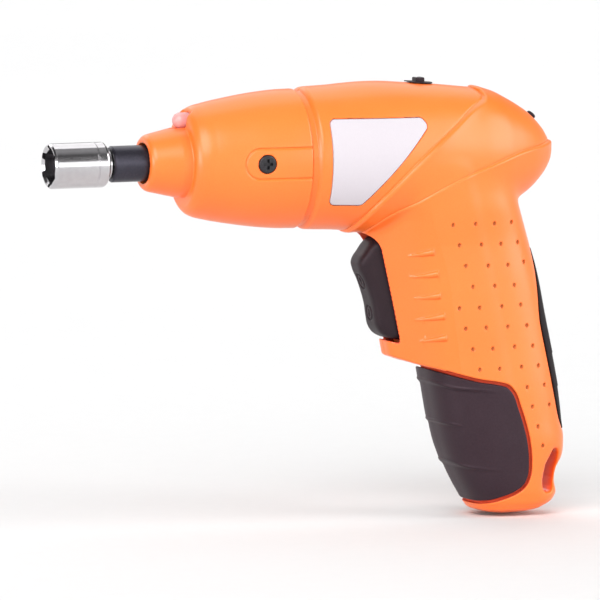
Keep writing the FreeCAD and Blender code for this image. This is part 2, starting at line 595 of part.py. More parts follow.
parts["led_wires"] = Part.makeCompound([lead([(30.45, s * 1.27, 14.7), (95.95, s * 1.27, 14.7)], 1, 0.5) for s in (-1, 1)])
parts["motor_wires"] = Part.makeCompound([lead([(85.45, s * 6.0, 0), (108.5, s * 6.0, 0), (108.5, s * 6.0, -27.97)], 5.0, 0.8) for s in (-1, 1)])
parts["battery_wires"] = Part.makeCompound([
    lead([(112.6, -5.5, strap_z(112.6) + 0.25), (112.6, -5.5, -44.02)], 1, 0.7),
    lead([(124.9, -5.5, strap_z(124.9) + 0.25), (124.9, -5.5, -33.0), (114.02, -5.5, -33.0)], 3.0, 0.7),
])
parts["board_wires"] = Part.makeCompound([
    lead([(124.3, s * 2.2, strap_z(124.3) + 0.25), (124.3, s * 2.2, -8.03)], 1, 0.6) for s in (-1, 1)
] + [lead([(125.15, s * 0.9, 6.4), (134.4, s * 0.9, 6.4)], 1, 0.25) for s in (-1, 1)])
parts["charge_wires"] = Part.makeCompound([
    lead([(126.4, s * 2.6, -96.98), (126.4, s * 2.6, -90.9), (144.0, s * 4.6, -90.3), (132.2, s * 5.0, -27.0), (124.4, s * 5.0, -8.05)], 2.0, 0.6) for s in (-1, 1)
])

# ---------------------------------------------------------------- charging inlet, board and lamps
jack = join([cyl_z(3.2, -110.3, -104.5, JACK_X, 0), box(120.4, 127.6, -3.6, 3.6, -104.9, -97.0)])
jack = jack.cut(cyl_z(2.75, -112, -100.0, JACK_X, 0)).fuse(cyl_z(1.05, -109.3, -99.5, JACK_X, 0)).removeSplitter()
parts["charge_jack"] = solid_of(jack)
parts["charge_board"] = box(123.5, 125.1, -11.0, 11.0, -8.0, 9.0)
n = V(0.68, 0, 0.733)
n.normalize()
p = V(138.6, 0, 10.7)
lamp = Part.makeCylinder(1.5, 6.2, p - n * 5.2, n)
lamp = lamp.makeFillet(0.6, [e for e in lamp.Edges if e.Curve.TypeId == "Part::GeomCircle" and (e.Curve.Center - (p + n * 1.0)).Length < 0.01])
parts["charge_indicator"] = solid_of(lamp)
parts["work_light"] = solid_of(join([cyl_x(2.45, 23.0, 30.4, 0, LED_Z), Part.makeSphere(2.45, V(23.0, 0, LED_Z)), cyl_x(2.9, 29.5, 30.4, 0, LED_Z)]))

# ---------------------------------------------------------------- lamp switch on top
shield = barrel(0.6).common(box(96.9, 106.1, -4.4, 4.4, 10, 40)).cut(barrel(0.25))
knob = box(99.8, 103.4, -2.7, 2.7, 22.0, 23.9)
knob = knob.makeFillet(0.6, knob.Edges).cut(barrel(0.35))
knob = join([solid_of(shield), solid_of(knob), box(100.5, 102.5, -1.2, 1.2, 16.0, 22.9)])
parts["light_switch_knob"] = solid_of(knob)
parts["light_switch_body"] = box(96.0, 107.0, -4.2, 4.2, 12.5, 17.2).cut(box(96.9, 103.2, -1.5, 1.5, 15.4, 18))

# ---------------------------------------------------------------- socket on its adapter
SOCKET_FRONT, SOCKET_BACK, SOCKET_R = -19.9, -1.7, 7.0
socket = turned_poly([
    (SOCKET_FRONT, 0), (SOCKET_FRONT, 6.45), (SOCKET_FRONT + 0.5, 6.95), (SOCKET_FRONT + 0.8, SOCKET_R), (-5.9, SOCKET_R), (-5.75, 6.82),
    (-5.45, 6.82), (-5.3, SOCKET_R), (-2.9, SOCKET_R), (-2.4, 6.85), (-1.85, 6.3), (SOCKET_BACK, 5.9), (SOCKET_BACK, 0),
])
mouth = hexagon(10.1, SOCKET_FRONT - 1, -11.9, 30)
lobes = [cyl_x(1.15, SOCKET_FRONT - 1, -11.9, 5.35 * math.cos(math.radians(60 * k + 30)), 5.35 * math.sin(math.radians(60 * k + 30))) for k in range(6)]
socket = socket.cut([join([mouth] + lobes), box(-12.4, 0, -3.23, 3.23, -3.23, 3.23)])
socket = socket.cut(turned_poly([(SOCKET_FRONT - 0.1, 0), (SOCKET_FRONT - 0.1, 6.15), (SOCKET_FRONT, 6.05), (SOCKET_FRONT + 0.7, 5.3), (SOCKET_FRONT + 0.7, 0)]))
socket = socket.cut(Part.makeSphere(1.1, V(-7.2, 0, 2.5)))
parts["socket"] = solid_of(socket)
adapter = join([box(-11.0, -1.3, -3.1, 3.1, -3.1, 3.1), cyl_x(4.4, -1.6, -0.6), hexagon(6.3, -0.9, 12.8)])
adapter = adapter.cut(turned_poly([(-12, 3.6), (-11.0, 3.6), (-10.0, 4.45), (-10, 8), (-12, 8)]))
parts["socket_adapter"] = solid_of(adapter.fuse(Part.makeSphere(1.0, V(-7.2, 0, 2.5))).removeSplitter())

for name, shape in parts.items():
    if not shape.isValid():
        print("not valid:", name)
    print("%-22s %3d solids %10.1f mm3" % (name, len(shape.Solids), shape.Volume))
    shape.exportStep("parts/" + name + ".step")
print(len(parts), "nodes")
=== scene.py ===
import json
import math

import bpy
import numpy as np
from mathutils import Matrix, Vector


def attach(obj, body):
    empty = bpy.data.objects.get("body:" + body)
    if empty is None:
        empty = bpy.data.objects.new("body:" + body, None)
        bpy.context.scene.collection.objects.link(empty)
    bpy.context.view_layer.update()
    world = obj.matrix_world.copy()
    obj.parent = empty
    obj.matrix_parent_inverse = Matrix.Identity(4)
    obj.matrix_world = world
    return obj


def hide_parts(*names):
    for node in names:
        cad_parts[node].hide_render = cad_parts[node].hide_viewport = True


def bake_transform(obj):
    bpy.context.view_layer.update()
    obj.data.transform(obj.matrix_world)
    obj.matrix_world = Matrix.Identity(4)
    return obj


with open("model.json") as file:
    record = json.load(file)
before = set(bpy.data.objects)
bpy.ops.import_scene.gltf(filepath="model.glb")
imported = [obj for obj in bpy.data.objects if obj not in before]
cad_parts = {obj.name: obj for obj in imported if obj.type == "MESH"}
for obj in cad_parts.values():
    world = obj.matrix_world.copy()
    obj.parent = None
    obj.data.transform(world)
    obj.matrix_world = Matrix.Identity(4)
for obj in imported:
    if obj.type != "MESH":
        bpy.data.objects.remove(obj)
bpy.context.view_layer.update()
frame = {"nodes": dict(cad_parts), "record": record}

NODES = frame["nodes"]

# Lengths below are in millimetres in the frame's own axes; meshes are scaled to metres when they are made.

# ------------------------------------------------------------------ driving numbers
FLAT = 0.88  # width of the barrel over its height
WALL = 2.2
BARREL = [
    (56.0, 21.4), (60.0, 21.7), (64.0, 22.0), (72.0, 22.35), (78.0, 22.8), (85.0, 23.05),
    (90.0, 22.9), (95.0, 22.5), (105.0, 21.7), (115.0, 20.6), (120.0, 20.0), (123.0, 19.3),
    (126.0, 18.3), (129.0, 16.8), (133.0, 14.6), (137.0, 11.9), (140.0, 9.1), (142.4, 6.1),
    (143.9, 3.2), (144.3, 1.6), (144.4, 0.0),
]
GRIP = [
    (6.0, 91.5, 126.0, 15.0), (-5.0, 92.5, 129.0, 17.2), (-14.0, 93.6, 131.6, 17.8), (-25.0, 95.2, 135.0, 17.2),
    (-38.0, 97.3, 138.6, 17.3), (-50.0, 99.3, 141.0, 17.3), (-61.0, 101.4, 143.2, 17.2),
    (-71.0, 103.8, 145.0, 17.1), (-82.0, 106.3, 146.5, 16.8), (-89.5, 108.4, 147.5, 16.5),
    (-94.0, 110.2, 147.0, 16.0), (-98.0, 112.0, 145.1, 15.5), (-102.0, 114.1, 144.5, 14.9),
    (-106.0, 116.4, 145.0, 13.9), (-109.0, 118.3, 142.9, 12.4), (-110.9, 120.6, 139.4, 10.0), (-111.8, 124.6, 133.8, 6.2),
]
GRIP_POWER = 2.8
NOSE = [
    (23.4, 9.0), (23.45, 12.4), (23.62, 13.9), (24.0, 14.9), (24.8, 15.9), (26.4, 16.85), (30.2, 17.9), (38.0, 19.4),
    (46.0, 20.6), (54.0, 21.35), (59.6, 21.5),
]
CONE = [(10.8, 6.3), (10.8, 7.4), (11.05, 8.0), (11.6, 8.5), (12.4, 8.85), (20.6, 10.7), (25.0, 11.2)]
BORE = [
    (0, -9), (0, 6.3), (12.5, 6.3), (12.5, 7.52), (24.4, 7.52), (24.4, 8.7), (33.0, 8.7), (33.0, 12.9), (36.2, 12.9),
    (36.2, 13.3), (52.0, 13.3), (52.0, 16.4), (70.0, 16.4), (70.0, -9),
]
POSTS = [(112.0, 13.0), (117.0, -13.0), (98.5, -58.6), (129.5, -35.5), (131.5, -102.0)]
PIVOT = (94.0, -40.0)
NOSE_SCREW_X = 45.2
LED_Z = 12.8

# edge lines of the side panels, seen square-on (X, Z)
RIDGE = [
    (117.0, 31.0), (117.9, 21.6), (118.6, 20.2), (119.5, 19.5), (119.9, 18.5), (119.3, 17.3), (117.5, 16.4), (115.0, 15.2), (107.2, 9.8), (99.3, 3.7), (92.5, -2.0), (86.0, -8.6),
    (80.2, -15.3), (76.4, -21.6), (75.2, -26.0),
]
CREASE = [
    (156.0, 5.6), (146.0, 3.9), (141.8, 3.0), (129.8, 0.9), (117.5, -3.1), (105.6, -7.7), (94.4, -13.5), (84.6, -19.2), (82.3, -22.1), (80.6, -27.0),
]
FLANK = [(96.0, -6.0), (99.8, -19.5), (104.8, -36.4), (107.2, -52.0), (108.7, -63.6), (109.5, -72.0)]
DIMPLES = [
    (106.1, -20.7), (113.5, -20.6), (120.0, -20.7), (126.2, -20.6), (108.4, -27.1), (115.6, -27.1), (122.3, -27.1), (128.5, -26.9),
    (110.5, -33.5), (117.9, -33.7), (124.6, -33.7), (130.6, -33.1), (112.8, -40.0), (120.1, -40.0), (126.8, -40.0),
    (108.5, -46.6), (115.0, -46.6), (122.5, -46.4), (129.0, -46.2), (110.6, -53.0), (117.2, -52.8), (124.5, -52.8), (131.1, -52.7),
    (112.9, -59.4), (119.4, -59.4), (126.8, -59.1), (133.2, -59.1), (115.2, -65.8), (121.7, -65.7), (129.2, -65.4), (135.2, -65.3),
    (131.1, -71.8), (137.4, -71.4), (132.9, -77.9), (139.3, -77.7), (134.9, -84.2), (136.7, -90.2),
]
RIBS = [
    ((93.0, -30.3), (100.2, -28.9)), ((93.6, -36.9), (101.7, -35.7)), ((95.2, -43.5), (102.4, -42.5)),
    ((95.8, -50.3), (103.8, -48.9)), ((97.3, -56.9), (104.5, -55.6)),
]
PAD = [
    (92.0, -62.6), (98.0, -64.3), (102.5, -66.0), (109.2, -68.1), (115.7, -69.8), (121.6, -70.8), (124.6, -71.7), (126.6, -73.9), (128.2, -78.0),
    (130.1, -83.4), (131.7, -89.9), (132.3, -95.0), (132.2, -99.2), (131.0, -102.2), (128.4, -104.2), (124.6, -105.8), (120.8, -107.0),
    (117.5, -107.5), (113.0, -106.8), (104.0, -104.5),
]
PAD_STEPS = [
    [(95.0, -67.5), (103.7, -70.4), (106.5, -71.4), (114.9, -72.4), (123.8, -73.2), (134.0, -73.6)],
    [(98.0, -81.2), (106.9, -83.0), (115.9, -84.6), (130.6, -86.8), (138.0, -87.8)],
    [(104.0, -92.4), (109.5, -95.0), (112.5, -96.4), (117.0, -97.1), (122.3, -97.6), (136.0, -98.6)],
]
STRIP = [
    (135.0, -29.1), (135.9, -35.0), (136.4, -44.0), (136.6, -51.0), (138.4, -60.0), (140.0, -67.0), (142.0, -75.6), (143.9, -82.6), (145.6, -85.9),
    (156.0, -85.9), (156.0, -28.6),
]
BADGE = [(66.1, 13.0), (96.2, 12.7), (98.2, 10.2), (88.2, -1.1), (82.2, -7.6), (76.6, -13.8), (66.1, -13.4)]
TRIGGER = [
    (85.4, -24.6), (83.9, -27.2), (82.3, -29.5), (81.0, -31.2), (80.4, -33.0), (80.8, -34.9), (82.4, -38.4), (83.8, -42.2),
    (84.9, -46.0), (85.5, -49.8), (86.1, -52.6), (87.6, -54.9), (91.2, -56.6), (94.8, -56.5), (96.8, -48.0), (96.8, -30.0), (93.5, -25.4), (89.0, -24.2),
]


# ------------------------------------------------------------------ curves and distances
def hermite_table(xs, ys, n=2000):
    """Dense table of a smooth curve through points."""
    xs, ys = np.asarray(xs, float), np.asarray(ys, float)
    h = np.diff(xs)
    d = np.diff(ys) / h
    m = np.empty_like(ys)
    m[1:-1] = (d[:-1] * h[1:] + d[1:] * h[:-1]) / (h[1:] + h[:-1])
    m[0], m[-1] = d[0], d[-1]
    t = np.linspace(xs[0], xs[-1], n)
    k = np.clip(np.searchsorted(xs, t) - 1, 0, len(h) - 1)
    u = (t - xs[k]) / h[k]
    return t, (2 * u**3 - 3 * u**2 + 1) * ys[k] + (u**3 - 2 * u**2 + u) * h[k] * m[k] + (3 * u**2 - 2 * u**3) * ys[k + 1] + (u**3 - u**2) * h[k] * m[k + 1]


def smooth_path(points, step=1.2):
    """Points of a smooth open curve through 2-D points."""
    p = np.asarray(points, float)
    s = np.concatenate([[0], np.cumsum(np.hypot(*np.diff(p, axis=0).T))])
    n = max(int(s[-1] / step), 8)
    return np.stack([hermite_table(s, p[:, 0], n)[1], hermite_table(s, p[:, 1], n)[1]], 1)


def line_distance(x, z, path):
    """Distance to a 2-D line, positive on the left of its direction."""
    best = np.full(x.shape, 1e9)
    sign = np.ones(x.shape)
    for (ax, az), (bx, bz) in zip(path[:-1], path[1:]):
        ex, ez = bx - ax, bz - az
        t = np.clip(((x - ax) * ex + (z - az) * ez) / (ex * ex + ez * ez), 0, 1)
        dx, dz = x - ax - t * ex, z - az - t * ez
        d = dx * dx + dz * dz
        near = d < best
        best = np.where(near, d, best)
        sign = np.where(near, np.sign(ex * dz - ez * dx), sign)
    return np.sqrt(best) * sign


def poly_distance(x, z, poly):
    """Signed distance to a closed 2-D polygon, negative inside."""
    best = np.full(x.shape, 1e9)
    inside = np.zeros(x.shape, bool)
    n = len(poly)
    for i in range(n):
        (ax, az), (bx, bz) = poly[i], poly[(i + 1) % n]
        ex, ez = bx - ax, bz - az
        t = np.clip(((x - ax) * ex + (z - az) * ez) / (ex * ex + ez * ez), 0, 1)
        best = np.minimum(best, (x - ax - t * ex) ** 2 + (z - az - t * ez) ** 2)
        if az != bz:
            inside ^= ((az > z) != (bz > z)) & (x < ex * (z - az) / ez + ax)
    best = np.sqrt(best)
    return np.where(inside, -best, best)


class Table:
    """A number over a flat grid, read between its points."""

    def __init__(self, a0, a1, b0, b1, step, make):
        self.a0, self.b0, self.step = a0, b0, step
        a, b = np.arange(a0, a1 + step, step), np.arange(b0, b1 + step, step)
        self.grid = make(*np.meshgrid(a, b, indexing="ij")).astype(np.float32)

    def __call__(self, a, b):
        g = self.grid
        u = np.clip((a - self.a0) / self.step, 0, g.shape[0] - 1.001)
        v = np.clip((b - self.b0) / self.step, 0, g.shape[1] - 1.001)
        i, j = u.astype(np.int32), v.astype(np.int32)
        u, v = u - i, v - j
        return (g[i, j] * (1 - u) + g[i + 1, j] * u) * (1 - v) + (g[i, j + 1] * (1 - u) + g[i + 1, j + 1] * u) * v


def smin(a, b, k):
    h = np.maximum(k - np.abs(a - b), 0) / k
    return np.minimum(a, b) - h * h * h * k / 6


def smax(a, b, k):
    return -smin(-a, -b, k)


def step01(d, w):
    t = np.clip((d + w) / (2 * w), 0, 1)
    return t * t * (3 - 2 * t)


def rise(d, w, p=2.4):
    """0 before a line, then a quick rise that rounds off to 1 at w."""
    return 1 - (1 - np.clip(d / w, 0, 1)) ** p


def box_distance(x, y, z, x0, x1, y0, y1, z0, z1):
    return np.maximum(np.maximum(np.maximum(x0 - x, x - x1), np.maximum(y0 - y, y - y1)), np.maximum(z0 - z, z - z1))


# ------------------------------------------------------------------ the big forms
_bx, _br = hermite_table([p[0] for p in BARREL], [p[1] for p in BARREL], 3000)
_profile = [(40.0, -60.0), (40.0, _br[0])] + list(zip(_bx[::14], _br[::14])) + [(144.4, 0.0), (144.4, -60.0)]
BARREL_D = Table(40, 160, 0, 45, 0.3, lambda a, b: poly_distance(a, b, _profile))


def across(y, r):
    """How much the flattened section shortens distances, at its sides most."""
    return 1 - (1 - FLAT) * np.clip(np.abs(y) / FLAT / np.maximum(r, 1e-6), 0, 1)


def barrel(x, y, z):
    r = np.sqrt((y / FLAT) ** 2 + z * z)
    return BARREL_D(x, r) * across(y, r)


_gz = [g[0] for g in GRIP][::-1]
_gt, _gf = hermite_table(_gz, [g[1] for g in GRIP][::-1])
_gb = hermite_table(_gz, [g[2] for g in GRIP][::-1])[1]
_gh = hermite_table(_gz, [g[3] for g in GRIP][::-1])[1]


def grip(x, y, z):
    f, b, h = np.interp(z, _gt, _gf), np.interp(z, _gt, _gb), np.interp(z, _gt, _gh)
    c, a = (f + b) / 2, (b - f) / 2
    n = GRIP_POWER
    X, Y = np.abs(x - c) / a, np.abs(y) / h
    g = (X**n + Y**n + 1e-12) ** (1 / n)
    gx, gy = (X / g) ** (n - 1) / a, (Y / g) ** (n - 1) / h
    d = (g - 1) / np.sqrt(gx * gx + gy * gy + 1e-6)
    sole = -(z + 111.8 - 0.010 * np.maximum(x - 126.0, 0) ** 2)
    return smax(smax(d, sole, 3.5), z - 4.0, 4.0)


def block(x, y, z):
    """The wedge in front of the handle that holds the trigger."""
    a, b = (x - 83.2 - 0.197 * (-24.0 - z)) * 0.981, np.abs(y)
    d = smax(-a, -0.7016 * a + 0.7126 * (b - 4.2), 2.5)
    d = smax(d, b - 17.0 - 0.08 * np.clip(z + 27.0, 0, 17), 5.0)
    d = smax(d, 0.832 * (a - 32) + 0.555 * (b - 17), 3.0)
    d = smax(d, z + 2.0, 4.0)
    return smax(d, (-61.7 - 0.33 * (x - 90.3) - z) / 1.053, 1.2)


def body(x, y, z):
    return smin(smin(barrel(x, y, z), grip(x, y, z), 4.0), block(x, y, z), 3.0)


# ------------------------------------------------------------------ side details, as tables over (X, Z)
def line_table(points, x0, x1, z0, z1, step=1.2):
    path = smooth_path(points, step)
    return Table(x0, x1, z0, z1, 0.5, lambda x, z: line_distance(x, z, path))


def pit(x, z, cx, cz):
    """1 at the rim of a small upright oval pit, 0 in its middle."""
    return ((x - cx) / 0.54) ** 2 + ((z - cz) / 0.68) ** 2


def _relief(x, z):
    d1, d2 = line_table(RIDGE, 56, 152, -116, 28)(x, z), line_table(CREASE, 56, 152, -116, 28)(x, z)
    # a bead along the first edge, higher where it is low on the side, and a fine line at its foot
    p1, p2 = np.maximum(d1, 0), np.maximum(d2, 0)
    low = np.clip((112 - x) / 20, 0, 1)
    h = (0.78 + 0.30 * low) * rise(d1, 1.15 + 0.55 * low, 2.0) * (0.72 * np.exp(-p1 / 14.0) + 0.28 * np.exp(-((p1 / 1.9) ** 2)))
    h -= 0.16 * np.exp(-(((d1 + 0.12) / 0.24) ** 2))
    tail = np.clip((x - 112) / 26, 0, 1)
    h += (0.26 + 0.62 * tail) * rise(d2, 0.95, 2.0) * (0.8 * np.exp(-p2 / 9.0) + 0.2 * np.exp(-((p2 / 1.6) ** 2)))
    h -= 0.14 * np.exp(-(((d2 + 0.12) / 0.24) ** 2))
    # a soft edge down the handle where the wedge ends, with a shallow hollow in front of it
    s = np.clip(-line_table(FLANK, 56, 152, -116, 28)(x, z) / 12.0, 0, 1)
    h -= 3.0 * s * (1 - s) ** 2 * step01(-17.0 - z, 3.0) * step01(z + 70.0, 4.0)
    for cx, cz in DIMPLES:
        h -= 0.8 * np.maximum(1 - pit(x, z, cx, cz), 0) ** 0.45
    for (ax, az), (bx, bz) in RIBS:
        ex, ez = bx - ax, bz - az
        l = math.hypot(ex, ez)
        s = ((x - ax) * ex + (z - az) * ez) / l**2
        t = ((x - ax) * -ez + (z - az) * ex) / l
        w = 0.30 + 0.75 * np.clip(s, 0, 1)
        bump = np.maximum(1 - (t / w) ** 2, 0) ** 0.6
        h += 0.80 * np.clip(s, 0, 1) ** 0.7 * bump * step01(1 - s, 0.06)
    return h


RELIEF = Table(56, 152, -116, 28, 0.12, _relief)
_pad = list(map(tuple, smooth_path(PAD, 0.8))) + [(80.0, -104.5), (80.0, -62.6)]
PAD_D = Table(84, 140, -114, -58, 0.2, lambda x, z: poly_distance(x, z, _pad))


def _pad_top(x, z):
    """How far the rubber stands out: a top band and three overlapping tiles whose lips die out towards the side."""
    d = [-line_table(p, 84, 140, -114, -58, 2.0)(x, z) for p in PAD_STEPS]
    fade = [np.clip((e - x) / w, 0, 1) for e, w in ((122.0, 12.0), (112.0, 6.0), (124.0, 13.0))]
    h = -0.20 + (0.15 + 0.20 * fade[0]) * np.clip(1 + d[0] / 5.0, 0, 1)
    for k, span in enumerate((12.5, 13.0, 10.0)):
        foot = -0.05 - 0.30 * fade[k]
        lip = -0.05 + (0.34 * fade[k + 1] if k < 2 else 0.0)
        tile = foot + (lip - foot) * np.clip(d[k] / span, 0, 1) ** 1.1
        s = rise(d[k], 0.8, 2.0)
        h = np.where(d[k] > 0, h * (1 - s) + tile * s, h)
        h = h + 0.22 * fade[k] * np.exp(-(((d[k] + 0.40) / 0.34) ** 2))
    return h


PAD_TOP = Table(84, 140, -114, -58, 0.12, _pad_top)
STRIP_D = Table(128, 158, -96, -18, 0.2, lambda x, z: poly_distance(x, z, list(map(tuple, smooth_path(STRIP[:-2], 1.0))) + STRIP[-2:]))
TRIGGER_D = Table(74, 104, -62, -18, 0.12, lambda x, z: poly_distance(x, z, list(map(tuple, smooth_path(TRIGGER[:14], 0.6))) + TRIGGER[14:]))


def _round_poly(poly, r):
    """Distance to a polygon with its outer corners rounded."""
    def make(x, z):
        c = np.mean(poly, 0)
        inner = []
        n = len(poly)
        for i in range(n):
            a, p, b = (np.asarray(poly[(i + k) % n], float) for k in (-1, 0, 1))
            u, v = (a - p) / np.linalg.norm(a - p), (b - p) / np.linalg.norm(b - p)
            m = u + v
            m /= np.linalg.norm(m)
            half = math.acos(np.clip(u @ v, -1, 1)) / 2
            inside = 1 if m @ (c - p) > 0 else -1
            inner.append(tuple(p + m * inside * r / math.sin(half)))
        return poly_distance(x, z, inner) - r
    return make


BADGE_D = Table(56, 106, -20, 20, 0.15, _round_poly(BADGE, 1.8))
_slot = smooth_path([(141.8, -92.6), (141.1, -95.0), (140.4, -98.5), (140.0, -102.0), (139.9, -103.2)], 0.8)
SLOT_D = Table(128, 154, -114, -84, 0.2, lambda x, z: np.abs(line_distance(x, z, _slot)) - np.interp(z, [-104, -101, -96, -92], [1.9, 2.5, 2.3, 1.1]))


# ------------------------------------------------------------------ shells
def shoulder(x):
    """A shallow channel behind the nose that ends in a rounded lip."""
    return 1.1 * (1 - rise(x - 61.8, 1.6, 2.0))


def forms(x, y, z):
    return barrel(x, y, z), grip(x, y, z), block(x, y, z)


def over(where, fn, *at, other=99.0):
    """fn where it matters, a far number elsewhere."""
    out = np.full(where.shape, other)
    if where.any():
        out[where] = fn(*(p[where] for p in at))
    return out


def cavity(x, y, z, f=None):
    near, g, k = f or forms(x, y, z)
    d = np.minimum(np.minimum(near, g), k) + WALL
    front = np.maximum(np.sqrt(y * y + z * z) - 16.5, x - 64)
    d = np.minimum(d, front)
    a = np.abs(y)
    keep = np.full(x.shape, 9.0)
    for px, pz in POSTS:
        r = np.hypot(x - px, z - pz)
        keep = np.minimum(keep, np.minimum(r - 2.8, np.maximum(r - 4.4, 6.5 - a)))
    keep = np.minimum(keep, np.maximum(np.hypot(x - PIVOT[0], z - PIVOT[1]) - 3.2, 6.95 - a))
    for x0 in (65.0, 78.5):
        rib = np.maximum(np.maximum(x0 - x, x - x0 - 2.0), np.maximum(12.3 - np.hypot(y, z), -21 - z))
        keep = np.minimum(keep, rib)
    keep = np.minimum(keep, box_distance(x, a, z, 136.0, 152.0, -1, 25.0, -107.2, -92.2))
    keep = np.minimum(keep, box_distance(x, a, z, 119.0, 129.0, -1, 4.6, -114.0, -105.0))
    return np.maximum(d, -keep)


def arch(a, z, half, top, r):
    """A half width with rounded upper corners."""
    p, q = a - half + r, z - top + r
    return np.hypot(np.maximum(p, 0), np.maximum(q, 0)) + np.minimum(np.maximum(p, q), 0) - r


def opening(x, a, z):
    """What the trigger comes out through."""
    floor = np.maximum(-57.6, -55.9 - 0.28 * (x - 86.0))
    return np.maximum(smax(arch(a, z, 6.95, -23.5, 5.0), floor - z, 1.6), np.maximum(60.0 - x, x - 97.5))


def skin(x, y, z, f=None):
    """Outside of the two shells with everything moulded into it."""
    near, g, k = f or forms(x, y, z)
    d = smin(smin(near, g, 4.0), k, 3.0)
    touch = np.abs(d) < 4.0
    d = d - over(touch, RELIEF, x, z, other=0.0) + shoulder(x)
    a = np.abs(y)
    d = smax(d, -np.maximum(over(touch & (x < 104) & (np.abs(z) < 18), BADGE_D, x, z) - 0.14, -(near + 0.8)), 0.25)
    d = smax(d, -smax(smax(over(touch & (x < 138) & (z < -58), PAD_D, x, z) - 0.98, -(g + 1.7), 0.5), g - 0.5 - 4.0 * step01(x - 105.0, 2.0), 0.3), 0.6)
    d = smax(d, -np.maximum(over(touch & (x > 129) & (z < -20) & (z > -94), STRIP_D, x, z) - 0.25, -(g + 0.9)), 0.4)
    d = smax(d, -over((x > 132) & (z < -86), SLOT_D, x, z), 2.2)
    d = smax(d, -opening(x, a, z), 0.7)
    d = np.maximum(d, -box_distance(x, a, z, 97.4, 102.7, -1, 1.4, 14.0, 40.0))
    d = smax(d, -np.maximum(np.hypot(x - 124.0, y) - 3.35, z + 104.0), 0.5)
    t = (x - 138.6) * 0.733 - (z - 10.7) * 0.68
    return np.maximum(d, -np.maximum(np.hypot(t, y) - 1.55, -((x - 138.6) * 0.68 + (z - 10.7) * 0.733) - 8))


def left_shell(x, y, z):
    f = forms(x, y, z)
    s = skin(x, y, z, f)
    d = np.maximum(s, -cavity(x, y, z, f))
    for px, pz in POSTS:
        d = np.maximum(d, -np.maximum(np.hypot(x - px, z - pz) - 1.32, np.abs(y) - 7.0))
    d = np.maximum(d, -np.maximum(np.hypot(x - PIVOT[0], z - PIVOT[1]) - 1.27, np.abs(y) - 9.6))
    d = smax(d, y + 0.015, 0.35)
    d = smax(d, 60.0 - x, 0.2)
    tongue = box_distance(x, y, z, 41.4, 66.5, -15.6, -13.9, -4.6, 4.6)
    root = np.maximum(box_distance(x, y, z, 60.2, 66.5, -21.0, -13.9, -4.6, 4.6), s + 1.0)
    tongue = np.maximum(np.minimum(tongue, root), -(np.hypot(x - NOSE_SCREW_X, z) - 1.32))
    return np.minimum(d, tongue)


def right_shell(x, y, z):
    d = left_shell(x, -y, z)
    for px, pz in POSTS:
        r = np.hypot(x - px, z - pz)
        d = smax(d, -np.maximum(r - 3.1, 9.0 - y), 0.5)
        d = np.maximum(d, -(r - 1.65))
    return d


# ------------------------------------------------------------------ nose housing
_nx, _nr = hermite_table([p[0] for p in NOSE], [p[1] for p in NOSE], 3000)
_nprofile = [(23.4, -30.0)] + list(zip(_nx[::20], _nr[::20])) + [(59.6, 21.5), (64.0, 21.4), (64.0, -30.0)]
NOSE_D = Table(4, 66, 0, 30, 0.15, lambda a, b: poly_distance(a, b, _nprofile))
_cprofile = [(10.8, -30.0)] + CONE[1:] + [(30.0, 11.2), (30.0, -30.0)]
CONE_D = Table(4, 66, 0, 30, 0.15, lambda a, b: poly_distance(a, b, _cprofile))
BORE_D = Table(4, 66, 0, 30, 0.15, lambda a, b: poly_distance(a, b, BORE))


def nose_housing(x, y, z):
    r, q = np.sqrt((y / FLAT) ** 2 + z * z), np.sqrt(y * y + z * z)
    d = NOSE_D(x, r) * across(y, r)
    a = np.abs(y)
    # tab outline round the side screws: a straight-sided loop, cut as a fine step
    tab = np.where(x < 43.2, np.hypot(x - 43.2, z) - 4.75, np.abs(z) - 4.75)
    side = step01(a - 13.0, 1.0)
    d = d + side * (0.42 * np.exp(-((tab / 0.28) ** 2)) + 0.16 * step01(-tab, 0.3))
    # rounded back edge
    d = smax(d, x - 59.9, 1.0)
    # notch for the lamp, over the tip
    d = smax(d, -smax(np.where(z > 13.0, a, np.hypot(a, z - 13.0)) - 3.9, x - 25.6, 0.8), 0.4)
    tip = smax(np.maximum(CONE_D(x, q), x - 27.0), -np.maximum(np.hypot(y, z - LED_Z) - 2.9, 19.6 - x), 0.5)
    d = smin(d, tip, 0.35)
    d = np.maximum(d, -BORE_D(x, q))
    d = np.maximum(d, -np.maximum(np.hypot(y, z - LED_Z) - 2.55, x - 30.0))
    d = np.maximum(d, -np.maximum(np.hypot(y, z - LED_Z) - 2.98, np.maximum(29.4 - x, x - 37.0)))
    d = smax(d, -np.maximum(np.hypot(x - NOSE_SCREW_X, z) - 2.92, 16.6 - a), 0.2)
    d = np.maximum(d, -np.maximum(np.hypot(x - NOSE_SCREW_X, z) - 1.6, 10 - a))
    return np.maximum(d, -box_distance(x, a, z, 41.2, 70.0, 13.8, 15.7, -4.7, 4.7))


# ------------------------------------------------------------------ rubber, badge, trigger
def pad(x, y, z):
    g = grip(x, y, z)
    d = smax(PAD_D(x, z), g - PAD_TOP(x, z), 0.9)
    return np.maximum(d, -(g + 1.65))


def strip(x, y, z):
    g = grip(x, y, z)
    lift = 0.05 + 0.20 * np.clip((z + 88) / 8, 0, 1) * np.clip((-26 - z) / 8, 0, 1)
    for z0 in (-62.0, -72.5):
        lift = lift + 0.18 * np.where(z > z0, np.exp(-(z - z0) / 5.0), 0)
    d = smax(STRIP_D(x, z), g - lift, 0.9)
    return np.maximum(d, -(g + 0.88))


def left_badge(x, y, z):
    b = barrel(x, y, z)
    d = smax(BADGE_D(x, z), b - 0.10, 0.45)
    return np.maximum(np.maximum(d, -(b + 0.78)), y + 2)


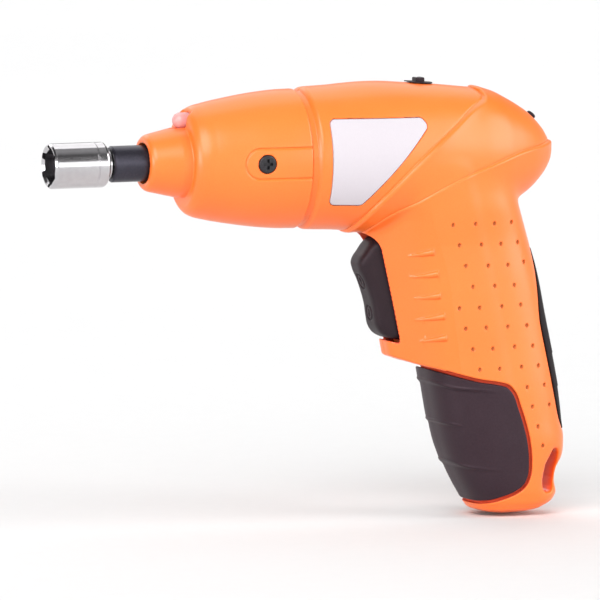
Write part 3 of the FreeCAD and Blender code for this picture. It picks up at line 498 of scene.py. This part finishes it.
def trigger(x, y, z):
    a = np.abs(y)
    d = TRIGGER_D(x, z)
    side = arch(a, z, 6.4, -24.0, 4.6) + 0.10 * np.maximum(91.0 - x, 0) * step01(92 - x, 3.0)
    d = smax(d, side, 4.2)
    # two engraved ring marks with a small arrow in each
    for cx, cz, way in ((82.6, -38.7, 1), (85.1, -48.6, -1)):
        t = (z - cz) / 1.0
        r = np.hypot(y, t)
        near = step01(2.4 - np.abs(x - cx - 0.34 * (cz - z)), 0.4)
        mark = np.exp(-(((r - 2.2) / 0.30) ** 2))
        mark = np.maximum(mark, np.exp(-((y / 0.26) ** 2)) * step01(1.1 - np.abs(t), 0.15))
        mark = np.maximum(mark, np.exp(-(((a - 0.6 * (1.15 - way * t)) / 0.24) ** 2)) * step01(0.5 - np.abs(way * t - 0.65), 0.12))
        d = d + 0.42 * near * mark
    d = np.maximum(d, -(np.hypot(x - PIVOT[0], z - PIVOT[1]) - 1.29))
    d = np.maximum(d, -box_distance(x, a, z, 96.2, 104.0, -1, 8.0, -38.9, -29.0))
    finger = np.minimum(box_distance(x, a, z, 96.4, 102.0, -1, 1.8, -40.8, -39.2), np.maximum(np.hypot(x - 102.0, z + 40.0) - 0.95, a - 1.8))
    return np.minimum(d, finger)


def lamp_knob(x, y, z):
    """Thumb piece of the lamp switch: an oval plate on the barrel, a small raised grip with a groove, a stem."""
    b, a = barrel(x, y, z), np.abs(y)
    oval = ((np.abs(x - 101.5) / 4.3) ** 3 + (a / 3.0) ** 3 + 1e-9) ** (1 / 3) - 1
    plate = smax(np.maximum(oval * 2.6, 0.25 - b), b - 0.58, 0.25)
    grip_top = smax(smax(np.abs(x - 101.5) - 1.45, a - 1.9, 0.7), z - 23.75 + 0.16 * np.exp(-(((x - 101.5) / 0.3) ** 2)), 0.5)
    stem = box_distance(x, a, z, 100.5, 102.5, -1, 1.2, 16.0, 22.9)
    return np.minimum(np.minimum(plate, np.maximum(grip_top, 0.35 - b)), stem)


# ------------------------------------------------------------------ from fields to meshes
def gradient(field, v, e=0.04):
    out = np.empty(len(v))
    g = np.empty((len(v), 3))
    for s in range(0, len(v), 300000):
        w = slice(s, s + 300000)
        x, y, z = v[w].T
        out[w] = field(x, y, z)
        g[w, 0] = (field(x + e, y, z) - field(x - e, y, z)) / (2 * e)
        g[w, 1] = (field(x, y + e, z) - field(x, y - e, z)) / (2 * e)
        g[w, 2] = (field(x, y, z + e) - field(x, y, z - e)) / (2 * e)
    return out, g


def net(field, lo, hi, h):
    """Closed mesh of field < 0 inside a box: one point per crossing cell, moved onto the surface."""
    lo, hi = np.asarray(lo, float), np.asarray(hi, float)
    c = 4
    n = np.ceil((hi - lo) / (h * c)).astype(int) * c + 1
    ax = [lo[k] + h * np.arange(n[k]) for k in range(3)]
    # a coarse pass finds where the surface can be
    G = field(*np.meshgrid(*[a[::c] for a in ax], indexing="ij"))
    near = np.abs(G) < h * c * 1.3
    cell = np.zeros(tuple(s - 1 for s in near.shape), bool)
    for i in (0, 1):
        for j in (0, 1):
            for k in (0, 1):
                cell |= near[i:i + cell.shape[0], j:j + cell.shape[1], k:k + cell.shape[2]]
    F = np.repeat(np.repeat(np.repeat(G[:-1, :-1, :-1], c, 0), c, 1), c, 2)
    F = np.pad(F, ((0, 1),) * 3, mode="edge").astype(np.float32)
    M = np.repeat(np.repeat(np.repeat(cell, c, 0), c, 1), c, 2)
    M = np.pad(M, ((0, 1),) * 3, mode="edge")
    for axis in range(3):
        lead, lag = [slice(None)] * 3, [slice(None)] * 3
        lead[axis], lag[axis] = slice(1, None), slice(None, -1)
        M[tuple(lead)] |= M[tuple(lag)].copy()
    idx = np.nonzero(M)
    out = np.empty(len(idx[0]), np.float32)
    for s in range(0, len(out), 400000):
        e = slice(s, s + 400000)
        out[e] = field(ax[0][idx[0][e]], ax[1][idx[1][e]], ax[2][idx[2][e]])
    F[idx] = out
    I = F < 0
    count = np.zeros(tuple(s - 1 for s in I.shape), np.int8)
    corners = [(i, j, k) for i in (0, 1) for j in (0, 1) for k in (0, 1)]
    for i, j, k in corners:
        count += I[i:i + count.shape[0], j:j + count.shape[1], k:k + count.shape[2]]
    act = (count > 0) & (count < 8)
    ids = np.full(act.shape, -1, np.int64)
    ci = np.nonzero(act)
    ids[ci] = np.arange(len(ci[0]))
    acc, num = np.zeros((len(ci[0]), 3)), np.zeros(len(ci[0]))
    for a in corners:
        for axis in range(3):
            if a[axis]:
                continue
            b = list(a)
            b[axis] = 1
            fa = F[ci[0] + a[0], ci[1] + a[1], ci[2] + a[2]].astype(float)
            fb = F[ci[0] + b[0], ci[1] + b[1], ci[2] + b[2]].astype(float)
            x = (fa < 0) != (fb < 0)
            t = np.where(x, fa / np.where(x, fa - fb, 1), 0)
            for k in range(3):
                acc[:, k] += np.where(x, a[k] + (t if k == axis else 0), 0)
            num += x
    v = lo + (acc / num[:, None] + np.stack(ci, 1)) * h
    quads = []
    for axis in range(3):
        o = [k for k in range(3) if k != axis]
        s0, s1 = [slice(None)] * 3, [slice(None)] * 3
        s0[axis], s1[axis] = slice(None, -1), slice(1, None)
        e = np.nonzero(I[tuple(s0)] != I[tuple(s1)])
        keep = (e[o[0]] > 0) & (e[o[1]] > 0) & (e[o[0]] < act.shape[o[0]]) & (e[o[1]] < act.shape[o[1]])
        e = [q[keep] for q in e]
        first = I[tuple(s0)][tuple(e)]

        def at(d0, d1):
            q = [None] * 3
            q[axis], q[o[0]], q[o[1]] = e[axis], e[o[0]] - d0, e[o[1]] - d1
            return ids[tuple(q)]

        quad = np.stack([at(1, 1), at(0, 1), at(0, 0), at(1, 0)], 1)
        flip = first if axis != 1 else ~first
        quad[~flip] = quad[~flip][:, ::-1]
        quads.append(quad)
    for _ in range(2):
        f0, g = gradient(field, v)
        move = -(f0 / np.maximum((g * g).sum(1), 0.05))[:, None] * g
        l = np.linalg.norm(move, axis=1)
        v = v + move * np.minimum(1, 0.5 * h / np.maximum(l, 1e-9))[:, None]
    return v, np.concatenate(quads)


def mesh_object(name, v, faces):
    """Object from vertices in mm and quads."""
    me = bpy.data.meshes.new(name)
    me.vertices.add(len(v))
    me.vertices.foreach_set("co", (np.asarray(v) * 0.001).astype(np.float32).ravel())
    n, k = faces.shape
    me.loops.add(n * k)
    me.loops.foreach_set("vertex_index", faces.astype(np.int32).ravel())
    me.polygons.add(n)
    me.polygons.foreach_set("loop_start", np.arange(0, n * k, k, dtype=np.int32))
    me.polygons.foreach_set("use_smooth", np.ones(n, bool))
    me.update(calc_edges=True)
    me.validate()
    ob = bpy.data.objects.new(name, me)
    bpy.context.scene.collection.objects.link(ob)
    return ob


def thinned(ob, ratio, weights=None):
    """The object's mesh with fewer faces, taken first where the weights are 1, such as the inside of a shell."""
    mod = ob.modifiers.new("thin", "DECIMATE")
    mod.ratio = ratio
    if weights is not None:
        group = ob.vertex_groups.new(name="thin")
        group.add(np.nonzero(weights)[0].tolist(), 1.0, "REPLACE")
        mod.vertex_group, mod.vertex_group_factor = "thin", 1.0
    me = bpy.data.meshes.new_from_object(ob.evaluated_get(bpy.context.evaluated_depsgraph_get()))
    old = ob.data
    ob.modifiers.clear()
    ob.vertex_groups.clear()
    ob.data = me
    bpy.data.meshes.remove(old)
    me.name = ob.name
    return me


def points(me):
    co = np.empty(len(me.vertices) * 3, np.float32)
    me.vertices.foreach_get("co", co)
    return co.reshape(-1, 3).astype(float)


def true_normals(me, field, flip=False):
    """Shading normals from the form itself, so that they don't depend on the faces."""
    g = gradient(field, points(me) * 1000.0 * ((1, -1, 1) if flip else (1, 1, 1)), 0.05)[1]
    g /= np.maximum(np.linalg.norm(g, axis=1), 1e-9)[:, None]
    me.normals_split_custom_set_from_vertices(g * ((1, -1, 1) if flip else (1, 1, 1)))


def piece(name, field, lo, hi, h, flip=False, normals=True):
    v, q = net(field, lo, hi, h)
    if flip:
        v, q = v * (1, -1, 1), q[:, ::-1]
    ob = mesh_object(name, v, q)
    if normals:
        true_normals(ob.data, field, flip)
    return ob


# ------------------------------------------------------------------ materials
def surface(name, low, high, rough, metallic=0.0, grain=900.0, patches=45.0, bump=0.08, depth=0.00004, stretch=(1, 1, 1), **sockets):
    """A finish whose colour, roughness and fine relief come from noise over the piece."""
    m = bpy.data.materials.new(name)
    m.use_nodes = True
    nt = m.node_tree
    nt.nodes.clear()
    N, L = nt.nodes.new, nt.links.new
    out, p = N("ShaderNodeOutputMaterial"), N("ShaderNodeBsdfPrincipled")
    L(p.outputs[0], out.inputs[0])
    co, mp = N("ShaderNodeTexCoord"), N("ShaderNodeMapping")
    mp.inputs["Scale"].default_value = stretch
    L(co.outputs["Object"], mp.inputs[0])
    big, fine = N("ShaderNodeTexNoise"), N("ShaderNodeTexNoise")
    big.inputs["Scale"].default_value, big.inputs["Detail"].default_value = patches, 3.0
    fine.inputs["Scale"].default_value, fine.inputs["Detail"].default_value = grain, 2.0
    L(mp.outputs[0], big.inputs["Vector"])
    L(mp.outputs[0], fine.inputs["Vector"])
    mix = N("ShaderNodeMath")
    mix.operation = "MULTIPLY_ADD"
    L(fine.outputs["Fac"], mix.inputs[0])
    mix.inputs[1].default_value = 0.45
    half = N("ShaderNodeMath")
    half.operation = "MULTIPLY"
    L(big.outputs["Fac"], half.inputs[0])
    half.inputs[1].default_value = 0.55
    L(half.outputs[0], mix.inputs[2])
    ramp = N("ShaderNodeValToRGB")
    ramp.color_ramp.elements[0].position, ramp.color_ramp.elements[0].color = 0.32, (*low, 1)
    ramp.color_ramp.elements[1].position, ramp.color_ramp.elements[1].color = 0.68, (*high, 1)
    L(mix.outputs[0], ramp.inputs[0])
    L(ramp.outputs[0], p.inputs["Base Color"])
    rr = N("ShaderNodeMapRange")
    rr.inputs["From Min"].default_value, rr.inputs["From Max"].default_value = 0.3, 0.7
    rr.inputs["To Min"].default_value, rr.inputs["To Max"].default_value = rough
    L(mix.outputs[0], rr.inputs["Value"])
    L(rr.outputs[0], p.inputs["Roughness"])
    if bump:
        b = N("ShaderNodeBump")
        b.inputs["Strength"].default_value, b.inputs["Distance"].default_value = bump, depth
        L(fine.outputs["Fac"], b.inputs["Height"])
        L(b.outputs[0], p.inputs["Normal"])
    p.inputs["Metallic"].default_value = metallic
    for k, val in sockets.items():
        p.inputs[k.replace("_", " ")].default_value = val
    return m


ORANGE = surface("orange_abs", (0.88, 0.149, 0.019), (0.93, 0.174, 0.026), (0.29, 0.37), grain=2400, patches=30, bump=0.10, depth=0.00003, Specular_IOR_Level=0.5)
WHITE = surface("badge_print", (0.465, 0.432, 0.462), (0.49, 0.456, 0.487), (0.46, 0.56), grain=1800, bump=0.04, depth=0.00002, Specular_IOR_Level=0.18)
RUBBER = surface("black_rubber", (0.020, 0.0105, 0.0145), (0.030, 0.0175, 0.023), (0.42, 0.54), grain=1600, bump=0.20, depth=0.00004, Specular_IOR_Level=0.24, Specular_Tint=(1.0, 0.82, 0.92, 1))
# painted shade: the back strip is the pad's rubber made darker because it faces away from the lights; its lower
# specular level is a material setting
STRIP_RUBBER_PAINTED_SHADE = surface("back_strip_rubber_painted_shade", (0.008, 0.0045, 0.006), (0.013, 0.008, 0.010), (0.52, 0.66), grain=1600, bump=0.20, depth=0.00004, Specular_IOR_Level=0.14)
# painted shade: a darker red-orange copy of the orange for the faces inside the groove, standing in for the shade in
# that recess
GROOVE_PAINTED_SHADE = surface("groove_painted_shade", (0.68, 0.070, 0.028), (0.76, 0.090, 0.036), (0.50, 0.60), grain=2400, patches=30, bump=0.10, depth=0.00003, Specular_IOR_Level=0.25)
# painted shade: a darker brown-orange copy of the orange for the faces inside the small pits, standing in for the shade
# in these holes
PIT_PAINTED_SHADE = surface("pit_painted_shade", (0.46, 0.135, 0.045), (0.54, 0.165, 0.055), (0.55, 0.65), grain=2400, patches=30, bump=0.10, depth=0.00003, Specular_IOR_Level=0.15)
BLACK = surface("black_plastic", (0.011, 0.0065, 0.0085), (0.018, 0.011, 0.0135), (0.42, 0.54), grain=2000, bump=0.12, depth=0.00003, Specular_IOR_Level=0.25, Specular_Tint=(1.0, 0.80, 0.88, 1))
DARK_STEEL = surface("black_oxide_steel", (0.034, 0.032, 0.044), (0.055, 0.052, 0.068), (0.26, 0.38), metallic=0.8, grain=1500, bump=0.06, depth=0.00002)
SCREW = surface("blackened_screw", (0.018, 0.017, 0.020), (0.035, 0.033, 0.037), (0.30, 0.44), metallic=0.6, grain=1500, bump=0.06, depth=0.00002)
CHROME = surface("chrome_plate", (0.52, 0.505, 0.52), (0.60, 0.585, 0.60), (0.13, 0.19), metallic=1.0, grain=600, bump=0.02, depth=0.00002)
STEEL = surface("machined_steel", (0.42, 0.42, 0.43), (0.56, 0.56, 0.57), (0.26, 0.40), metallic=1.0, grain=1100, stretch=(1, 3, 3), bump=0.08, depth=0.00002)
BRONZE = surface("sintered_bronze", (0.42, 0.25, 0.10), (0.55, 0.34, 0.15), (0.42, 0.58), metallic=1.0, grain=2600, bump=0.25, depth=0.00003)
COPPER = surface("enamelled_copper", (0.55, 0.20, 0.07), (0.72, 0.30, 0.12), (0.25, 0.38), metallic=1.0, grain=1700, stretch=(6, 1, 1), bump=0.25, depth=0.00005)
MAGNET = surface("ferrite", (0.055, 0.052, 0.050), (0.085, 0.080, 0.078), (0.55, 0.70), grain=2200, bump=0.25, depth=0.00003)
NYLON = surface("gear_nylon", (0.72, 0.70, 0.63), (0.80, 0.78, 0.71), (0.36, 0.46), grain=1500, bump=0.06, depth=0.00002)
CARBON = surface("brush_carbon", (0.030, 0.030, 0.032), (0.055, 0.055, 0.058), (0.55, 0.70), grain=3000, bump=0.3, depth=0.00003)
CELL = surface("cell_wrap", (0.030, 0.20, 0.135), (0.040, 0.24, 0.165), (0.28, 0.38), grain=700, bump=0.06, depth=0.00004)
BOARD = surface("circuit_board", (0.012, 0.10, 0.040), (0.020, 0.135, 0.058), (0.34, 0.46), grain=1300, bump=0.12, depth=0.00003)
# lamp lens: a pale pink of its own, deepened to red-pink as painted reflection of the orange pocket round it
LENS_TINT_AND_PAINTED_REFLECTION = surface("pink_lens_and_painted_reflection", (0.90, 0.47, 0.46), (0.95, 0.58, 0.56), (0.08, 0.14), grain=900, bump=0.02, depth=0.00002, Transmission_Weight=0.45, IOR=1.5)
WIRES = {
    "led_wires": surface("white_lead", (0.62, 0.60, 0.56), (0.70, 0.68, 0.64), (0.36, 0.46), grain=1500, bump=0.05),
    "motor_wires": surface("red_lead", (0.46, 0.018, 0.014), (0.54, 0.026, 0.020), (0.36, 0.46), grain=1500, bump=0.05),
    "battery_wires": surface("black_lead", (0.020, 0.020, 0.021), (0.032, 0.032, 0.033), (0.36, 0.46), grain=1500, bump=0.05),
    "board_wires": surface("yellow_lead", (0.62, 0.44, 0.03), (0.70, 0.51, 0.05), (0.36, 0.46), grain=1500, bump=0.05),
    "charge_wires": surface("blue_lead", (0.02, 0.07, 0.36), (0.03, 0.09, 0.43), (0.36, 0.46), grain=1500, bump=0.05),
}

# ------------------------------------------------------------------ moulded pieces
HOUSING = "housing"
LEFT, RIGHT = (58.0, -22.0, -116.0), (152.0, 22.0, 27.0)
SHELL_STEP = 0.32
made = {}


def shell(name, field, side):
    v, q = net(field, (40.6, -22.0 if side < 0 else -0.8, -115.0), (151.0, 0.8 if side < 0 else 22.0, 26.0), SHELL_STEP)
    x, y, z = v.T
    inner = (cavity(x, y, z) < 0.4) & (skin(x, y, z) < -0.55)
    ob = mesh_object(name, v * 1000.0, q)
    thinned(ob, 1 - 0.9 * inner.mean(), inner)
    me = thinned(ob, min(1.0, 150000 / (2.0 * len(ob.data.polygons))) if len(ob.data.polygons) > 100000 else 1.0)
    me.transform(Matrix.Scale(0.001, 4))
    true_normals(me, field)
    return ob


def shaded_recesses(ob):
    """Second and third material of a shell, both painted shade: darker copies of the orange on the groove round the pad
    and the trigger opening, and on the small pits of the handle.
    """
    me = ob.data
    c = np.empty(len(me.polygons) * 3, np.float32)
    me.polygons.foreach_get("center", c)
    x, y, z = (c.reshape(-1, 3).astype(float) * 1000.0).T
    g = grip(x, y, z)
    painted_shade_slot = np.zeros(len(x), np.int32)
    # slot 1 is painted shade: the faces lining the trigger opening and the groove round the pad
    painted_shade_slot[(x > 78) & (x < 98.2) & (z < -22) & (z > -59) & (np.abs(y) < 7.3) & (np.abs(opening(x, np.abs(y), z)) < 0.3)] = 1
    painted_shade_slot[(z < -60) & (x < 138) & (PAD_D(x, z) < 1.15) & (g < -0.22) & (g > -1.85)] = 1
    # slot 2 is painted shade: the faces inside the small pits of the handle
    out = np.abs(skin(x, y, z)) < 0.3
    for cx, cz in DIMPLES:
        painted_shade_slot[out & (pit(x, z, cx, cz) < 1.0)] = 2
    me.polygons.foreach_set("material_index", painted_shade_slot)
    me.update()


made["left_shell",] = shell("left_shell_skin", left_shell, -1)
made["right_shell",] = shell("right_shell_skin", right_shell, 1)
made["nose_housing",] = piece("nose_skin", nose_housing, (9.6, -20.5, -23.0), (60.8, 20.5, 23.0), 0.36)
made["left_grip_pad", "right_grip_pad"] = piece("pad_skin", pad, (98.0, -20.0, -110.0), (135.0, 20.0, -62.0), 0.26)
made["left_back_strip", "right_back_strip"] = piece("strip_skin", strip, (131.0, -20.0, -91.0), (151.0, 20.0, -22.0), 0.33)
for side, flip in (("left", False), ("right", True)):
    made[side + "_badge",] = piece(side + "_badge_skin", left_badge, (64.0, -22.0, -15.0), (100.0, -5.0, 15.0), 0.33, flip)
made["light_switch_knob",] = piece("lamp_knob_skin", lamp_knob, (96.4, -3.8, 15.4), (106.6, 3.8, 24.4), 0.16)
made["trigger",] = piece("trigger_skin", trigger, (78.5, -7.6, -57.5), (104.5, 7.6, -22.0), 0.24)

FINISH = {
    "left_shell": ORANGE, "right_shell": ORANGE, "nose_housing": ORANGE, "left_badge": WHITE, "right_badge": WHITE,
    "left_grip_pad": RUBBER, "left_back_strip": STRIP_RUBBER_PAINTED_SHADE, "trigger": BLACK, "light_switch_knob": BLACK,
}
SLOT = {s["node"]: s["material_slot"] for s in frame["record"]["subparts"]}
for nodes, ob in made.items():
    ob.data.materials.clear()
    ob.data.materials.append(FINISH[nodes[0]])
    if nodes[0] in ("left_shell", "right_shell"):
        # painted shade for the groove and for the pits
        ob.data.materials.append(GROOVE_PAINTED_SHADE)
        ob.data.materials.append(PIT_PAINTED_SHADE)
        shaded_recesses(ob)
    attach(ob, nodes[0] if nodes[0] in ("trigger", "light_switch_knob") else HOUSING)
    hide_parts(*nodes)

# the return springs stand on the housing at one end and on the slider at the other; each is copied as it is, given
# steel, and its original hidden
for node, fixed, moving in (("upper_return_spring", -0.0290, -0.0330), ("lower_return_spring", -0.0430, -0.0390)):
    ob = bpy.data.objects.new(node + "_coil", NODES[node].data.copy())
    ob.matrix_world = NODES[node].matrix_world.copy()
    bpy.context.scene.collection.objects.link(ob)
    ob.data.materials.clear()
    ob.data.materials.append(STEEL)
    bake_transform(ob)
    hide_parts(node)
    made[node,] = ob

BY_SLOT = {
    "black_steel": DARK_STEEL, "chrome_steel": CHROME, "bronze": BRONZE, "copper": COPPER, "magnet": MAGNET, "steel": STEEL,
    "gear_plastic": NYLON, "black_plastic": BLACK, "carbon": CARBON, "cell": CELL, "board": BOARD, "clear_lens": LENS_TINT_AND_PAINTED_REFLECTION,
}
for node, ob in NODES.items():
    if any(node in nodes for nodes in made):
        continue
    m = WIRES.get(node) or BY_SLOT[SLOT[node]]
    if node in ("shell_screws", "nose_screws"):
        m = SCREW
    ob.data.materials.clear()
    ob.data.materials.append(m)

# ------------------------------------------------------------------ floor, light, camera
FLOOR_Z = -0.1124


def floor_mesh():
    n = 24
    g = np.linspace(-60000, 60000, n + 1)
    x, y = np.meshgrid(g, g, indexing="ij")
    v = np.stack([x.ravel(), y.ravel(), np.full(x.size, FLOOR_Z * 1000)], 1)
    i = np.arange(x.size).reshape(n + 1, n + 1)
    q = np.stack([i[:-1, :-1], i[1:, :-1], i[1:, 1:], i[:-1, 1:]], -1).reshape(-1, 4)
    return mesh_object("studio_floor", v, q)


floor = floor_mesh()
floor.data.materials.append(surface("pale_sweep", (0.67, 0.67, 0.67), (0.69, 0.69, 0.69), (0.75, 0.85), grain=200, patches=3, bump=0.0))

world = bpy.data.worlds.new("studio")
bpy.context.scene.world = world
world.use_nodes = True
nt = world.node_tree
nt.nodes.clear()
wout, bg = nt.nodes.new("ShaderNodeOutputWorld"), nt.nodes.new("ShaderNodeBackground")
tc, sp, rp = nt.nodes.new("ShaderNodeTexCoord"), nt.nodes.new("ShaderNodeSeparateXYZ"), nt.nodes.new("ShaderNodeValToRGB")
nt.links.new(tc.outputs["Generated"], sp.inputs[0])
nt.links.new(sp.outputs["Z"], rp.inputs[0])
stops = [(0.0, 1.0), (0.08, 1.0), (0.11, 0.40), (0.34, 0.40), (0.52, 0.08), (0.80, 0.08), (0.93, 0.40)]
els = rp.color_ramp.elements
while len(els) < len(stops):
    els.new(0.5)
for e, (pos, val) in zip(els, stops):
    e.position, e.color = pos, (val, val, val * 1.01, 1)
nt.links.new(rp.outputs[0], bg.inputs["Color"])
bg.inputs["Strength"].default_value = 1.0
nt.links.new(bg.outputs[0], wout.inputs[0])

TARGET = Vector((0.0625, 0.0, -0.0439))


def soft(name, way, spread, power, colour=(1, 1, 1)):
    """A far, wide soft light from one direction; spread is its width in degrees."""
    light = bpy.data.lights.new(name, "SUN")
    light.angle, light.energy, light.color = math.radians(spread), power, colour
    ob = bpy.data.objects.new(name, light)
    way = Vector(way).normalized()
    ob.location = TARGET + way * 2.0
    ob.rotation_euler = way.to_track_quat("Z", "Y").to_euler()
    bpy.context.scene.collection.objects.link(ob)


soft("key", (-0.42, -0.70, 0.60), 44, 2.7)
soft("side", (0.76, -0.50, 0.38), 48, 2.4)
soft("top_back", (0.10, 0.66, 0.80), 60, 1.2)
soft("back_fill", (-0.35, 0.95, 0.25), 60, 0.7)
soft("left_strip", (-0.90, -0.36, 0.06), 26, 1.9)
soft("front_low", (0.46, -0.88, 0.05), 38, 0.6)

cam = bpy.data.cameras.new("photo_view")
cam.sensor_width = 36.0
DIST = 6.0
cam.lens = 36.0 * DIST * 1000 / 184.6
cam.clip_start, cam.clip_end = 0.05, 100.0
cam.dof.use_dof = False
camera = bpy.data.objects.new("photo_view", cam)
bpy.context.scene.collection.objects.link(camera)
back = Vector((-0.3567, -0.9293, 0.0958)).normalized()
camera.location = TARGET + back * DIST
camera.rotation_euler = back.to_track_quat("Z", "Y").to_euler()
bpy.context.scene.camera = camera
bpy.context.scene.view_settings.view_transform = "Standard"
bpy.context.scene.view_settings.look = "None"
